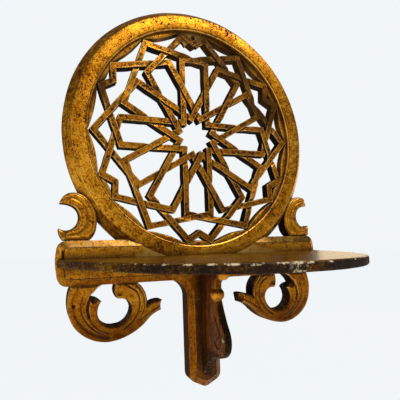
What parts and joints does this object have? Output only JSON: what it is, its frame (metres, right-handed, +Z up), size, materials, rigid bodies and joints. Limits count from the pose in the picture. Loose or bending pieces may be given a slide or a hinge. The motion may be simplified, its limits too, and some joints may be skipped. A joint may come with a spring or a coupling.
{
  "type": "turban stand",
  "caption": "Wall-hung carved and gilded wooden turban stand: a pierced rosette in a round frame over a rounded shelf, with a crossbar, stem, corbel and scrolls.",
  "frame": {"origin": "middle of the back on the wall plane, level with the top of the shelf", "axes": "+Y into the wall, so the front faces -Y; +X to the right seen from the front; +Z up"},
  "size_m": [0.419, 0.239, 0.5687],
  "materials": {
    "gilded_frame": "satin",
    "gilded_rosette": "satin",
    "gilded_scroll": "satin",
    "gilded_shelf": "satin",
    "bare_wood": "matte",
    "iron": "matte"
  },
  "bodies": {
    "root": {"ring_segment_1": "gilded_frame", "ring_segment_2": "gilded_frame", "ring_segment_3": "gilded_frame", "ring_segment_4": "gilded_frame", "ring_segment_5": "gilded_frame", "ring_segment_6": "gilded_frame", "ring_tongues": "bare_wood", "rosette_panel": "gilded_rosette", "panel_sprigs": "iron", "crossbar": "gilded_frame", "stem": "gilded_frame", "shelf": "gilded_shelf", "corbel": "gilded_scroll", "upper_scroll_right": "gilded_scroll", "upper_scroll_left": "gilded_scroll", "lower_scroll_right": "gilded_scroll", "lower_scroll_left": "gilded_scroll", "ring_dowels": "bare_wood", "upper_scroll_dowels": "bare_wood", "lower_scroll_dowels": "bare_wood", "shelf_screws": "iron", "corbel_screws": "iron"}
  },
  "joints": []
}
